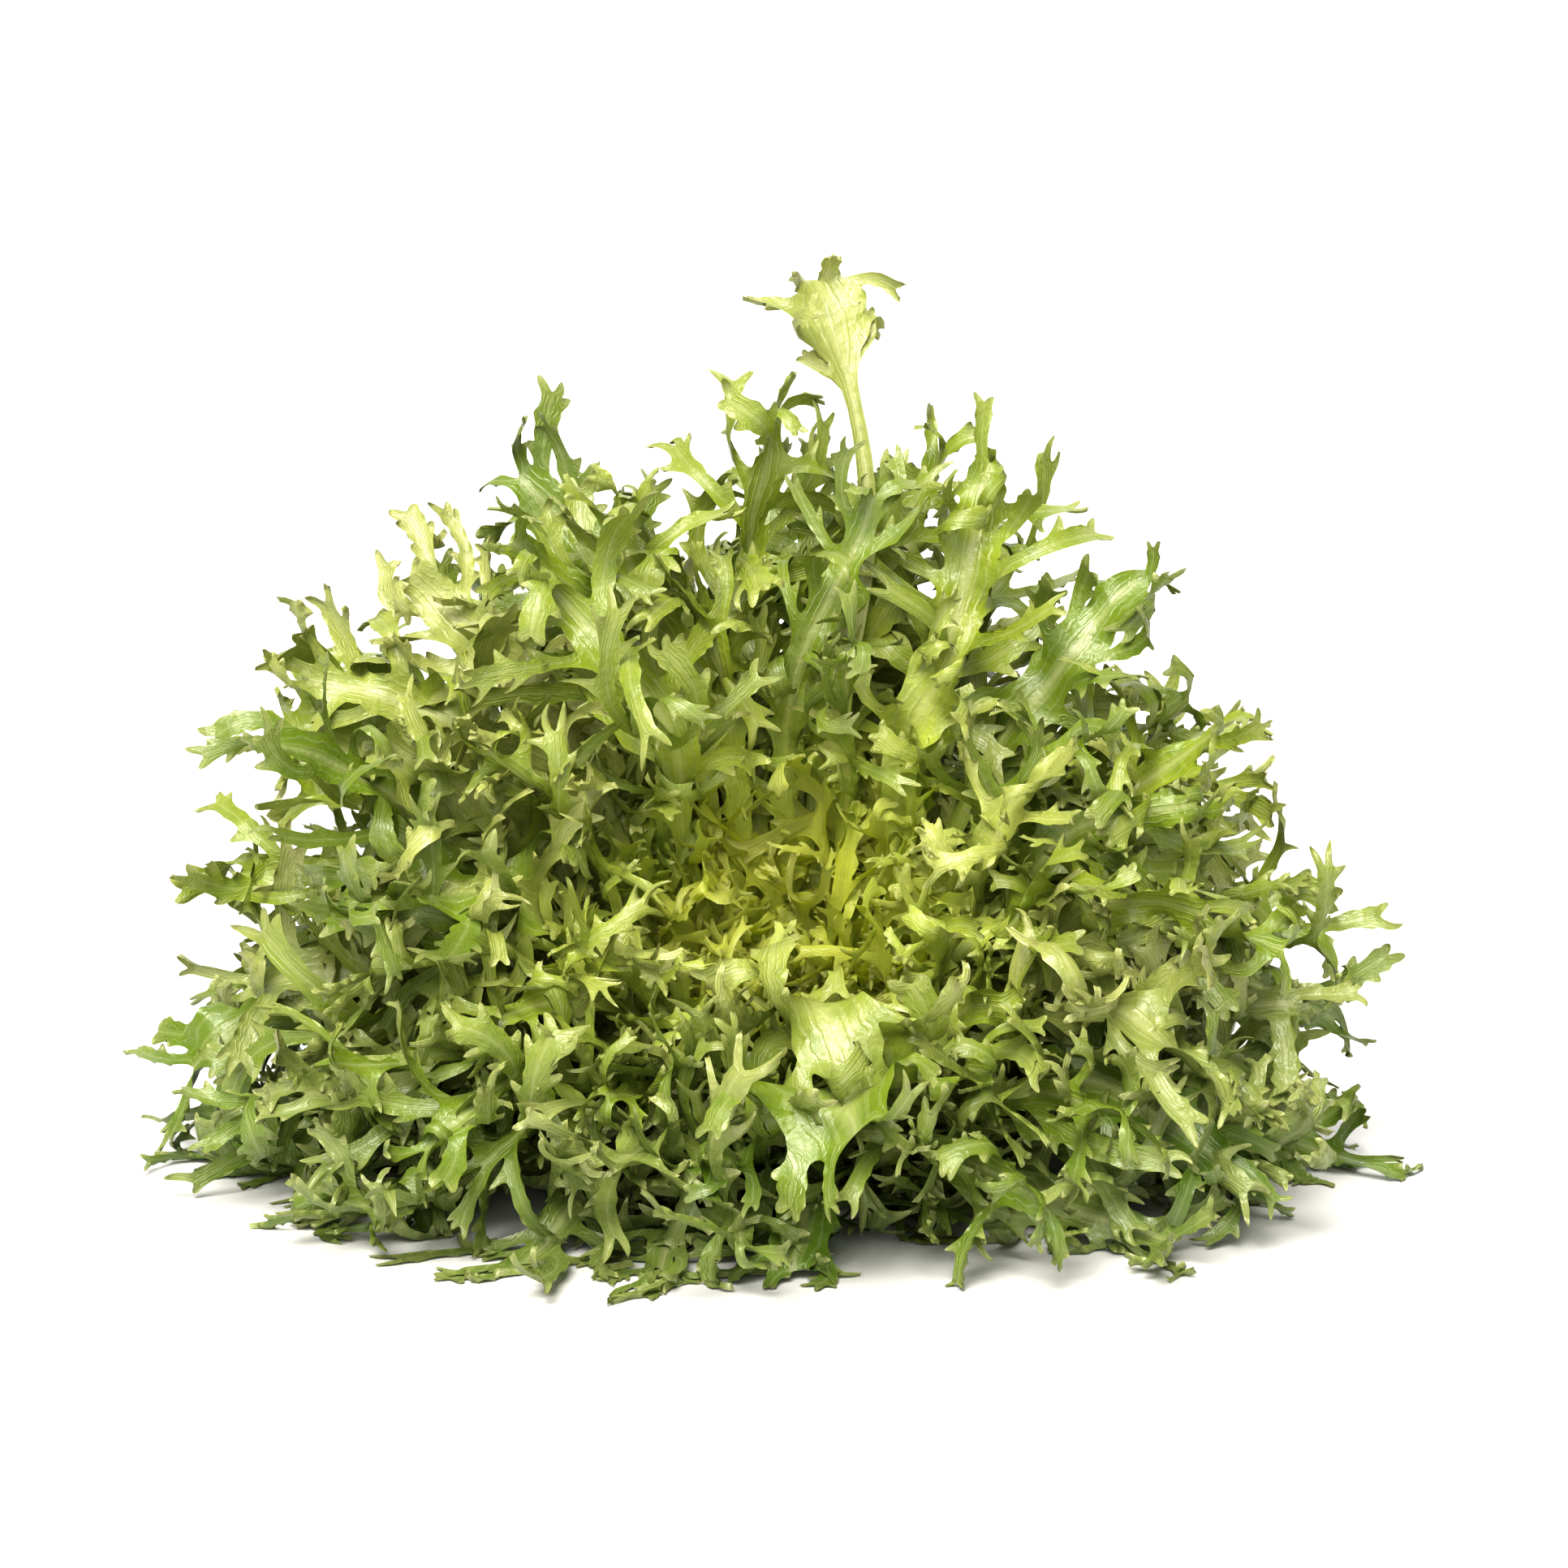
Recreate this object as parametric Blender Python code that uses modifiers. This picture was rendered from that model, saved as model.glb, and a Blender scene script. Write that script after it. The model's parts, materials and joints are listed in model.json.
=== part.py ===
"""Curly endive head, lying on its side with its heart turned up towards the front.

A short crown (the cut stump of the stem) carries a rosette: a dense heart of small leaves round the head's
axis, and long leaves round that, each a rib with cut side lobes. Every leaf starts on the crown and runs
outwards. On any sphere round the crown the leaves keep the order that they have at their roots, so ribs never
cross. The surface that the head lies on turns the lower ones up.

Units are metres, +Z is up, -Y is the front, and the origin is under the middle of the head.
"""

import math
import random
from collections import namedtuple

import bmesh
import bpy
from mathutils import Vector
from mathutils.bvhtree import BVHTree

# Driving dimensions
HEAD_HALF = Vector((0.162, 0.128, 0.220))  # half width, half depth and height of the mound of leaves
MOUND_LEAN = 0.12  # how far its rising part bulges towards -X and falls short towards +X, as a share
CROWN_AT = Vector((0.0, 0.008, 0.039))  # middle of the crown above the surface, before the head is centred
AXIS_RISE = math.radians(43)  # how far the axis of the heart rises above the level
CROWN_RADIUS = 0.0178
CROWN_FRONT = 0.0118  # how far the crown reaches from its middle towards the heart
CROWN_BACK = 0.0095  # where its swell meets the stump
STUMP_RADIUS = 0.0115
STUMP_LENGTH = 0.029  # from the crown's middle to the cut face
GAP = 0.0004  # between neighbouring solids
HEART_REACH = 0.072  # from the crown's middle to the heart's tips

# The rosette
GOLDEN_ANGLE = math.pi * (3 - math.sqrt(5))
SPHERE_LEAVES = 106  # leaves of a whole sphere at this spacing
HEART_CONE = math.radians(27)  # half angle of the cone that the heart fills
ROOT_NEAREST = math.radians(47)  # root of the innermost leaf, measured at the crown from the axis
ROOT_FURTHEST = math.radians(116)
LOWEST_RISE = math.radians(-16)  # direction of the lowest leaves, seen from the crown
CROWDING = 0.5  # how far leaves pressed down by the head's weight have moved round it
BEND_SPAN = 0.085  # distance over which a leaf turns from its root's direction to its tip's
SAG = math.radians(12)  # how far a full-length leaf hangs at its tip
RIB_CLEAR = 0.0012  # lowest line of a rib's middle surface
LOBE_CLEAR = 0.0009  # lowest line of a lobe's
PRESSED = 0.0007  # what is lower than this is flattened against the surface
PRESS_SOFTNESS = math.radians(3)  # how gently a rib turns along the surface
BOWL_DEPTH = 0.27  # how much shorter than the mound the innermost leaves are
BOWL_WIDTH = math.radians(34)  # from the heart's cone to where leaves reach the mound's skin

# A leaf. Shares are of its length.
RIB_HALF_ROOT = 0.0024
RIB_HALF_MIDDLE = 0.0042
RIB_HALF_TIP = 0.0020
RIB_WIDEST = 0.4
RIB_ROWS_BEFORE_LOBES = (0.0, 0.35, 0.7)  # shares of the bare stalk
LOBES_END = 0.97
RIB_THICKNESS = 0.0017
LOBE_THICKNESS_SHARE = 0.58
LOBE_HALF = 0.0044
LOBE_LONGEST = 0.029
LOBE_SPACING = 0.0085
LOBES_FEWEST = 5
LOBE_BEND_AT = 0.55  # share of its length at which a lobe bends
SHORTEST_LOBE = 0.004
SHORTENING = 0.85  # for each time that a lobe is found to cross something
FORKED_EVERY = 3
LONG_BARE, SHORT_BARE = 0.30, 0.42  # bare stalk of long and of short leaves
SHORT_REACH, LONG_REACH = 0.08, 0.15
PALE_REACH = 0.115  # leaves shorter than this are pale

# The heart
HEART_EDGE = math.radians(3)  # between its outermost tips and its cone
HEART_BUD = (  # radius and distance from the crown's middle, down the bud's outer side
    (0, 0.0400),
    (0.0075, 0.0375),
    (0.0125, 0.0310),
    (0.0142, 0.0240),
    (0.0125, 0.0170),
    (0.0105, 0.0124),
    (0, 0.0124),
)
HEART_BLADES = 40
HEART_BLADE_ROOT = 0.022
HEART_BLADE_HALF = 0.0028
HEART_BLADE_THICKNESS = 0.0010
HEART_BLADE_BOW = 0.003

# Side of the head, rise and length of the leaves that stand out of the mound, the share of each that is bare
# stalk, the size of its lobes, and how far its tip bends towards +X, as a share of its length. Bearing 0 is the
# front, 90 the right, 180 the back, in degrees.
Outstanding = namedtuple("Outstanding", "name bearing rise reach bare blade bend")
OUTSTANDING = (
    Outstanding("tall_leaf", 100, 81, 0.199, 0.84, 1.00, -0.16),
    Outstanding("high_leaf_left", -90, 57, 0.164, 0.40, 1.00, 0.0),
    Outstanding("broad_leaf_left", -88, 41, 0.160, 0.40, 1.35, 0.0),
    Outstanding("spur_leaf_left", -104, 22, 0.140, 0.35, 0.80, 0.0),
    Outstanding("side_leaf_left", -97, 6, 0.170, 0.35, 1.25, 0.0),
    Outstanding("floor_leaf_left", -87, -9, 0.171, 0.30, 1.15, 0.0),
    Outstanding("upper_leaf_right", 98, 68, 0.170, 0.40, 1.00, -0.08),
    Outstanding("high_leaf_right", 92, 56, 0.158, 0.40, 0.90, 0.0),
    Outstanding("arched_leaf_right", 82, 38, 0.148, 0.35, 0.90, 0.0),
    Outstanding("low_leaf_right", 94, 7, 0.160, 0.35, 0.95, 0.0),
    Outstanding("floor_leaf_right", 85, -6, 0.168, 0.30, 1.05, 0.0),
    Outstanding("broad_leaf_front", 8, 6, 0.128, 0.40, 1.40, 0.0),
    Outstanding("floor_leaf_front", -6, -11, 0.134, 0.35, 1.05, 0.0),
)
OUTSTANDING_ROOM = math.radians(16)  # no ordinary leaf points this near to one of them
BEND_FROM = 0.45  # share of its length at which a bent leaf begins to bend

# Colours
LEAF_GREEN = (0.165, 0.300, 0.040, 1.0)
LEAF_PALE = (0.330, 0.440, 0.075, 1.0)
HEART_YELLOW = (0.560, 0.560, 0.070, 1.0)
STUMP_CREAM = (0.640, 0.600, 0.380, 1.0)

AXIS = Vector((0, -math.cos(AXIS_RISE), math.sin(AXIS_RISE)))
ACROSS = Vector((1, 0, 0))
OVER = Vector((0, math.sin(AXIS_RISE), math.cos(AXIS_RISE)))  # from the axis over the head's back

Leaf = namedtuple("Leaf", "name polar turn reach bare blade bend seed")
Lobe = namedtuple("Lobe", "start end side length lean lift curl twist forked")
Frame = namedtuple("Frame", "at along across out")
Skin = namedtuple("Skin", "tree owners")


def mix(a, b, share):
    return a + (b - a) * share


def smooth(share):
    share = min(max(share, 0.0), 1.0)
    return share * share * (3 - 2 * share)


# --- The rosette ---


def direction(polar, turn):
    """Unit vector at this angle from the head's axis, turned this far round it from the head's back."""
    return AXIS * math.cos(polar) + (OVER * math.cos(turn) + ACROSS * math.sin(turn)) * math.sin(polar)


def lowest_polar(turn):
    """The angle from the axis, on this turn, at which a leaf runs along the surface."""
    over = OVER.z * math.cos(turn)
    return math.atan2(over, AXIS.z) + math.acos(math.sin(LOWEST_RISE) / math.hypot(over, AXIS.z))


def mound_reach(toward):
    """Distance from the crown's middle to the mound's skin, an ellipsoid about the origin that leans as it rises."""
    start = Vector(CROWN_AT[i] / HEAD_HALF[i] for i in range(3))
    step = Vector(toward[i] / HEAD_HALF[i] for i in range(3))
    half_b = start.dot(step)
    upright = (-half_b + math.sqrt(half_b**2 - step.dot(step) * (start.dot(start) - 1))) / step.dot(step)
    return upright * (1 - MOUND_LEAN * toward.x * max(toward.z, 0))


def outstanding_leaves():
    leaves = []
    for number, spec in enumerate(OUTSTANDING):
        bearing, rise = math.radians(spec.bearing), math.radians(spec.rise)
        level = Vector((math.sin(bearing), -math.cos(bearing), 0))
        toward = level * math.cos(rise) + Vector((0, 0, math.sin(rise)))
        turn = math.atan2(toward.dot(ACROSS), toward.dot(OVER))
        polar = math.acos(max(-1.0, min(1.0, toward.dot(AXIS))))
        leaves.append(Leaf(spec.name, polar, turn, spec.reach, spec.bare, spec.blade, spec.bend, 900 + number))
    return leaves


def ordinary_leaves(taken):
    """Leaves in golden-angle order, innermost first, where the heart and the surface leave room."""
    leaves = []
    for step in range(SPHERE_LEAVES):
        polar = math.acos(1 - (2 * step + 1) / SPHERE_LEAVES)
        turn = math.remainder(step * GOLDEN_ANGLE, math.tau)
        if polar < HEART_CONE + HEART_EDGE or polar > lowest_polar(turn):
            continue
        toward = direction(polar, turn)
        if any(toward.angle(direction(leaf.polar, leaf.turn)) < OUTSTANDING_ROOM for leaf in taken):
            continue
        draw = random.Random(step)
        open_share = smooth((polar - HEART_CONE) / BOWL_WIDTH)
        reach = mound_reach(toward) * mix(1 - BOWL_DEPTH, 1, open_share) * draw.uniform(0.92, 1.02)
        blade = mix(0.62, 1.0, open_share) * draw.uniform(0.90, 1.12)
        bare = mix(SHORT_BARE, LONG_BARE, smooth((reach - SHORT_REACH) / (LONG_REACH - SHORT_REACH)))
        leaves.append(Leaf(f"leaf_{len(leaves) + 1:02d}", polar, turn, reach, bare, blade, 0.0, step))
    return leaves


def rib_point(leaf, share, polar_shift=0.0, turn_shift=0.0):
    """A point on the leaf's midrib, from its root on the crown (share 0) to its tip (share 1)."""
    tip_polar, tip_turn = leaf.polar + polar_shift, leaf.turn + turn_shift
    rank = (tip_polar - HEART_CONE) / (lowest_polar(tip_turn) - HEART_CONE)
    root_polar = mix(ROOT_NEAREST, ROOT_FURTHEST, rank)
    root_turn = tip_turn + CROWDING * math.sin(tip_turn)
    radius = mix(CROWN_RADIUS + GAP, leaf.reach, share)
    bent = smooth((radius - CROWN_RADIUS) / BEND_SPAN)
    toward = direction(mix(root_polar, tip_polar, bent), mix(root_turn, tip_turn, bent))
    rise = math.asin(max(-1.0, min(1.0, toward.z)))
    rise -= SAG * (radius / HEAD_HALF.x) ** 2.5 * math.cos(rise)
    drop = (CROWN_AT.z - RIB_CLEAR) / radius
    if drop < 1:
        lowest = -math.asin(drop)
        rise = lowest + PRESS_SOFTNESS * math.log1p(math.exp((rise - lowest) / PRESS_SOFTNESS))
    level = Vector((toward.x, toward.y, 0)).normalized()
    bend = ACROSS * leaf.bend * leaf.reach * max(0.0, (share - BEND_FROM) / (1 - BEND_FROM)) ** 2
    return CROWN_AT + radius * (level * math.cos(rise) + Vector((0, 0, math.sin(rise)))) + bend


def rib_frame(leaf, share):
    """The midrib's point, its direction, the way across the blade, and the way out of its inner face."""
    step = 0.01
    along = (rib_point(leaf, share + step) - rib_point(leaf, share - step)).normalized()
    across = rib_point(leaf, share, turn_shift=step) - rib_point(leaf, share, turn_shift=-step)
    across = (across - along * across.dot(along)).normalized()
    return Frame(rib_point(leaf, share), along, across, across.cross(along))


# --- Leaves ---


def lobe_count(leaf):
    """A lobe for every so much of the rib's length, on alternate sides."""
    return max(LOBES_FEWEST, round((1 - leaf.bare) * leaf.reach / LOBE_SPACING))


def lobes_of(leaf):
    """The leaf's cut lobes, on alternate sides, longest past its middle, lifted to one face or the other."""
    draw = random.Random(leaf.seed * 7 + 1)
    count = lobe_count(leaf)
    lobes = []
    for number in range(count):
        start = mix(leaf.bare, LOBES_END, number / count)
        end = mix(leaf.bare, LOBES_END, (number + 1) / count)
        done = (number + 0.5) / count
        fullness = mix(0.5, 1.0, smooth(done / 0.5)) * mix(1.0, 0.62, smooth((done - 0.6) / 0.4))
        wave = 1 if number % 4 < 2 else -1
        lobes.append(
            Lobe(
                start,
                end,
                1 if number % 2 else -1,
                LOBE_LONGEST * leaf.blade * fullness * draw.uniform(0.82, 1.15),
                math.radians(draw.uniform(46, 66)),
                math.radians(wave * draw.uniform(6, 38)),
                math.radians(wave * draw.uniform(-20, 55)),
                math.radians(draw.uniform(-35, 35)),
                number % FORKED_EVERY == 1,
            )
        )
    return lobes


def rib_half(leaf, share):
    """Half the rib's width: it swells from the root to the middle and narrows to the tip."""
    size = mix(0.8, 1.0, leaf.blade)
    if share < RIB_WIDEST:
        return mix(RIB_HALF_ROOT, RIB_HALF_MIDDLE, share / RIB_WIDEST) * size
    return mix(RIB_HALF_MIDDLE, RIB_HALF_TIP, (share - RIB_WIDEST) / (1 - RIB_WIDEST)) * size


def lobe_outline(lobe, near, far, frame):
    """The lobe's points past its base: two at its middle, then its tip, or a notch and two tips."""
    sideways = frame.across * lobe.side
    level = sideways * math.sin(lobe.lean) + frame.along * math.cos(lobe.lean)
    toward = level * math.cos(lobe.lift) + frame.out * math.sin(lobe.lift)
    up = frame.out * math.cos(lobe.lift) - level * math.sin(lobe.lift)
    breadth = frame.along * math.sin(lobe.lean) - sideways * math.cos(lobe.lean)
    breadth = breadth * math.cos(lobe.twist) + up * math.sin(lobe.twist)
    onward = toward * math.cos(lobe.curl) + up * math.sin(lobe.curl)
    half = min(LOBE_HALF, 0.3 * lobe.length)
    middle = (near + far) / 2 + toward * LOBE_BEND_AT * lobe.length
    beyond = (1 - LOBE_BEND_AT) * lobe.length
    points = [middle - breadth * half, middle + breadth * half]
    if lobe.forked:
        points.append(middle + onward * beyond * 0.22)
        points.append(middle + onward * beyond + breadth * 1.7 * half)
        points.append(middle + onward * beyond * 0.85 - breadth * 1.6 * half)
    else:
        points.append(middle + onward * beyond)
    return points


class Sheet:
    """An open surface under construction, and the lobe that each of its faces belongs to, None on the rib."""

    def __init__(self):
        self.points, self.faces, self.owners, self.rib_points = [], [], [], 0

    def add(self, point, clear=LOBE_CLEAR):
        self.points.append(Vector((point.x, point.y, max(point.z, clear))))
        return len(self.points) - 1

    def face(self, corners, owner=None, flip=False):
        self.faces.append(tuple(reversed(corners)) if flip else tuple(corners))
        self.owners.append(owner)

    def skin(self):
        """The surface with its thickness and half the gap on each side, to look for crossings with."""
        normals = [Vector() for _ in self.points]
        edges = set()
        for face in self.faces:
            a, b, c = (self.points[i] for i in face)
            for i, j in zip(face, face[1:] + face[:1]):
                normals[i] += (b - a).cross(c - a).normalized()
                edges.add((i, j))
        spread = [normal.normalized() * (RIB_THICKNESS + GAP) / 2 for normal in normals]
        points = [p + s for p, s in zip(self.points, spread)]
        points += [p - s for p, s in zip(self.points, spread)]
        count = len(self.points)
        faces = self.faces + [tuple(i + count for i in reversed(face)) for face in self.faces]
        owners = self.owners * 2
        for face, owner in zip(self.faces, self.owners):
            for i, j in zip(face, face[1:] + face[:1]):
                if (j, i) not in edges:
                    faces += [(j, i, i + count), (j, i + count, j + count)]
                    owners += [owner] * 2
        return Skin(BVHTree.FromPolygons(points, faces, all_triangles=True), owners)


def rib_sheet(leaf, lobes):
    """The rib as a strip, split where lobes begin and end. Returns the sheet and its two edges."""
    shares = [share * leaf.bare for share in RIB_ROWS_BEFORE_LOBES]
    shares += [lobe.start for lobe in lobes] + [lobes[-1].end]
    sheet, edges = Sheet(), {-1: [], 1: []}
    for share in shares:
        frame, half = rib_frame(leaf, share), rib_half(leaf, share)
        for side in (-1, 1):
            edges[side].append(sheet.add(frame.at + frame.across * side * half, RIB_CLEAR))
    tip = sheet.add(rib_point(leaf, 1.0), RIB_CLEAR)
    left, right = edges[-1], edges[1]
    for row in range(len(shares) - 1):
        sheet.face((left[row], right[row], right[row + 1]))
        sheet.face((left[row], right[row + 1], left[row + 1]))
    sheet.face((left[-1], right[-1], tip))
    sheet.rib_points = len(sheet.points)
    return sheet, edges


def add_lobe(sheet, leaf, number, lobe, edges):
    """One lobe, grown from one edge of one stretch of the rib."""
    row = number + len(RIB_ROWS_BEFORE_LOBES)
    near, far = edges[lobe.side][row], edges[lobe.side][row + 1]
    frame = rib_frame(leaf, (lobe.start + lobe.end) / 2)
    made = [sheet.add(p) for p in lobe_outline(lobe, sheet.points[near], sheet.points[far], frame)]
    middle_near, middle_far = made[:2]
    flip = lobe.side < 0
    sheet.face((near, middle_near, middle_far), number, flip)
    sheet.face((near, middle_far, far), number, flip)
    sheet.face((middle_near, made[2], middle_far), number, flip)
    if lobe.forked:
        notch, far_tip, near_tip = made[2:]
        sheet.face((middle_near, near_tip, notch), number, flip)
        sheet.face((notch, far_tip, middle_far), number, flip)


def leaf_sheet(leaf, lobes, lengths):
    sheet, edges = rib_sheet(leaf, lobes)
    for number, lobe in enumerate(lobes):
        if lengths[number] > 0:
            add_lobe(sheet, leaf, number, lobe._replace(length=lengths[number]), edges)
    return sheet


def touching_lobes(skin, others):
    """The lobes that cross another leaf's skin, or another part of their own leaf."""
    found = {skin.owners[mine] for other in others for mine, _ in skin.tree.overlap(other.tree)}
    for mine, own in skin.tree.overlap(skin.tree):
        if skin.owners[mine] != skin.owners[own]:
            found |= {skin.owners[mine], skin.owners[own]}
    return found - {None}


def grown_leaf(leaf, lobes, others):
    """The leaf's sheet and skin, with each lobe that would cross something drawn in until it's clear."""
    lengths = [lobe.length for lobe in lobes]
    while True:
        sheet = leaf_sheet(leaf, lobes, lengths)
        skin = sheet.skin()
        touching = touching_lobes(skin, others)
        if not touching:
            return sheet, skin
        for number in touching:
            lengths[number] *= SHORTENING
            if lengths[number] < SHORTEST_LOBE:
                lengths[number] = 0


def solid_leaf(name, sheet, material):
    """The sheet as an object with real thickness, greatest on the rib."""
    mesh = bpy.data.meshes.new(name)
    mesh.from_pydata(sheet.points, [], sheet.faces)
    mesh.materials.append(material)
    leaf = bpy.data.objects.new(name, mesh)
    group = leaf.vertex_groups.new(name="rib")
    group.add(list(range(sheet.rib_points)), 1.0, "REPLACE")
    thickness = leaf.modifiers.new("thickness", "SOLIDIFY")
    thickness.thickness = RIB_THICKNESS
    thickness.offset = 0
    thickness.vertex_group = group.name
    thickness.thickness_vertex_group = LOBE_THICKNESS_SHARE
    return leaf


def make_leaves(collection):
    outstanding = outstanding_leaves()
    leaves = outstanding + ordinary_leaves(outstanding)
    lobes = {leaf.name: lobes_of(leaf) for leaf in leaves}
    ribs = {leaf.name: rib_sheet(leaf, lobes[leaf.name])[0].skin() for leaf in leaves}
    grown = []
    green, pale = finish("leaf_green", LEAF_GREEN, 0.42), finish("leaf_pale", LEAF_PALE, 0.42)
    for leaf in leaves:
        others = [skin for name, skin in ribs.items() if name != leaf.name]
        sheet, skin = grown_leaf(leaf, lobes[leaf.name], others + grown)
        grown.append(skin)
        collection.objects.link(solid_leaf(leaf.name, sheet, pale if leaf.reach < PALE_REACH else green))


# --- Heart and crown ---


def turned(name, profile, collection, material, sides):
    """A solid turned about the head's axis from (radius, height) points that run down its outer side."""
    mesh = bpy.data.meshes.new(name)
    edges = [(i, i + 1) for i in range(len(profile) - 1)]
    mesh.from_pydata([(r, 0, h) for r, h in profile], edges, [])
    mesh.materials.append(material)
    solid = bpy.data.objects.new(name, mesh)
    solid.location = CROWN_AT
    solid.rotation_euler = (math.pi / 2 - AXIS_RISE, 0, 0)
    screw = solid.modifiers.new("turn", "SCREW")
    screw.steps = screw.render_steps = sides
    screw.use_merge_vertices = True
    screw.merge_threshold = 0.0001
    collection.objects.link(solid)
    return solid


def make_crown(collection):
    """The crown that every leaf grows from, with the cut stump behind it."""
    cut = [(STUMP_RADIUS, -STUMP_LENGTH), (0, -STUMP_LENGTH)]
    neck = [(STUMP_RADIUS * 1.12, -CROWN_BACK * 1.3), (STUMP_RADIUS * 1.08, -STUMP_LENGTH * 0.8)]
    swell = []
    for step in range(5):
        height = mix(CROWN_FRONT, -CROWN_BACK, step / 4)
        swell.append((math.sqrt(CROWN_RADIUS**2 - height**2), height))
    profile = [(0, CROWN_FRONT)] + swell + neck + cut
    turned("crown", profile, collection, finish("stump_cream", STUMP_CREAM, 0.5), 20)


def heart_blade(number):
    """A small leaf of the heart: a pointed strip with two side teeth, in a direction inside the cone."""
    draw = random.Random(500 + number)
    share = (number + 0.5) / HEART_BLADES
    polar = math.acos(mix(1, math.cos(HEART_CONE - HEART_EDGE), share))
    turn = number * GOLDEN_ANGLE
    toward = direction(polar, turn)
    across = direction(polar, turn + 0.01) - direction(polar, turn - 0.01)
    tilt = draw.uniform(-0.5, 0.5) * toward.cross(across).normalized()
    across = (across.normalized() + tilt).normalized()
    out = across.cross(toward)
    root, tip = HEART_BLADE_ROOT, HEART_REACH * mix(0.86, 1.0, share) * draw.uniform(0.86, 1.0)
    half = HEART_BLADE_HALF
    bow = draw.uniform(-HEART_BLADE_BOW, HEART_BLADE_BOW)
    rows = [
        (root, -half * 0.7, half * 0.7, 0),
        (mix(root, tip, 0.45), -half * 0.6, half * 0.6, 0),
        (mix(root, tip, 0.62), -half * 0.5, half * 1.7, bow),
        (mix(root, tip, 0.78), -half * 1.7, half * 0.5, bow),
    ]
    sheet = Sheet()
    edge = []
    for radius, low, high, rise in rows:
        at = CROWN_AT + toward * radius + out * rise
        edge.append((sheet.add(at + across * low), sheet.add(at + across * high)))
    point = sheet.add(CROWN_AT + toward * tip + out * bow * 3)
    for (left, right), (next_left, next_right) in zip(edge, edge[1:]):
        sheet.face((left, right, next_right))
        sheet.face((left, next_right, next_left))
    sheet.face((edge[-1][0], edge[-1][1], point))
    return sheet


def make_heart(collection):
    """The heart: small leaves crowded round the axis, joined to the bud that they stand out of."""
    yellow = finish("heart_yellow", HEART_YELLOW, 0.45)
    heart = turned("heart", HEART_BUD, collection, yellow, 18)
    blades = bpy.data.collections.new("heart_blades")
    bpy.context.scene.collection.children.link(blades)
    for number in range(HEART_BLADES):
        blade = solid_leaf(f"heart_blade_{number:02d}", heart_blade(number), yellow)
        blade.modifiers["thickness"].thickness = HEART_BLADE_THICKNESS
        blade.modifiers["thickness"].vertex_group = ""
        blades.objects.link(blade)
    union = heart.modifiers.new("blades", "BOOLEAN")
    union.operation = "UNION"
    union.operand_type = "COLLECTION"
    union.collection = blades
    union.solver = "EXACT"
    bpy.context.view_layer.update()
    graph = bpy.context.evaluated_depsgraph_get()
    joined = bpy.data.meshes.new_from_object(heart.evaluated_get(graph))
    heart.modifiers.clear()
    heart.data = joined
    for blade in list(blades.objects):
        bpy.data.objects.remove(blade)
    bpy.data.collections.remove(blades)


# --- Putting the head down ---


def press_flat(collection):
    """Flattens what presses on the surface, then centres the head over the origin."""
    graph = bpy.context.evaluated_depsgraph_get()
    for solid in collection.objects:
        mesh = bpy.data.meshes.new_from_object(solid.evaluated_get(graph))
        mesh.transform(solid.matrix_world)
        solid.modifiers.clear()
        solid.data = mesh
        solid.location, solid.rotation_euler = (0, 0, 0), (0, 0, 0)
        bm = bmesh.new()
        bm.from_mesh(mesh)
        for vertex in bm.verts:
            if vertex.co.z < PRESSED:
                vertex.co.z = 0
        bm.to_mesh(mesh)
        bm.free()
    corners = [v.co for solid in collection.objects for v in solid.data.vertices]
    low = Vector(min(c[i] for c in corners) for i in range(3))
    high = Vector(max(c[i] for c in corners) for i in range(3))
    middle = (low + high) / 2
    for solid in collection.objects:
        solid.location = (-middle.x, -middle.y, -low.z)


def finish(name, colour, roughness):
    """A plain material: colour and roughness of a fresh leaf or stem."""
    material = bpy.data.materials.get(name)
    if material is None:
        material = bpy.data.materials.new(name)
        material.use_nodes = True
        shader = material.node_tree.nodes["Principled BSDF"]
        shader.inputs["Base Color"].default_value = colour
        shader.inputs["Roughness"].default_value = roughness
        shader.inputs["Metallic"].default_value = 0
    return material


def main():
    for old in list(bpy.data.objects):
        bpy.data.objects.remove(old)
    head = bpy.data.collections.new("curly_endive_head")
    bpy.context.scene.collection.children.link(head)
    make_crown(head)
    make_heart(head)
    make_leaves(head)
    bpy.context.view_layer.update()
    press_flat(head)


main()
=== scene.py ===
"""Curly endive head: the looks of the leaves, heart and crown, and the stage that they're shown on.

Every leaf is a rib that follows the rule of the modelled leaves, with wings and cut lobes grown from its edges as
strips of faces. A strip turns as it grows, so lobes curl and twist. The strips are then subdivided and thickened.
"""

import json
import math
import random
from collections import namedtuple

import bpy
import numpy as np
from mathutils import Matrix, Vector, noise


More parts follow.
